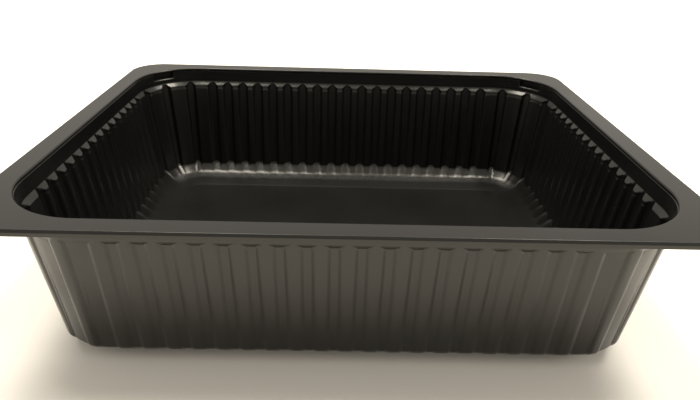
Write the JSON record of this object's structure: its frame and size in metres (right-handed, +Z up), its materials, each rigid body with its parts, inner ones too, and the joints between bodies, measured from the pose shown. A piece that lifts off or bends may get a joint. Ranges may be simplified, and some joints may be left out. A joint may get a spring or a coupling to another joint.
{
  "type": "gastronorm tray",
  "caption": "Black plastic half-size gastronorm tray with a flat flange, fluted sloping walls, lid pockets in the corners and a flat base panel.",
  "frame": {"origin": "on the surface that the tray stands on, under the middle of its base", "axes": "+X along the tray's length, +Y along its width, +Z up out of its mouth"},
  "size_m": [0.325, 0.265, 0.085],
  "materials": {
    "black_polypropylene": "satin black thermoformed sheet, a little glossier inside, with a fine grain on the flange"
  },
  "bodies": {
    "root": {"tray": "black_polypropylene"}
  },
  "joints": []
}
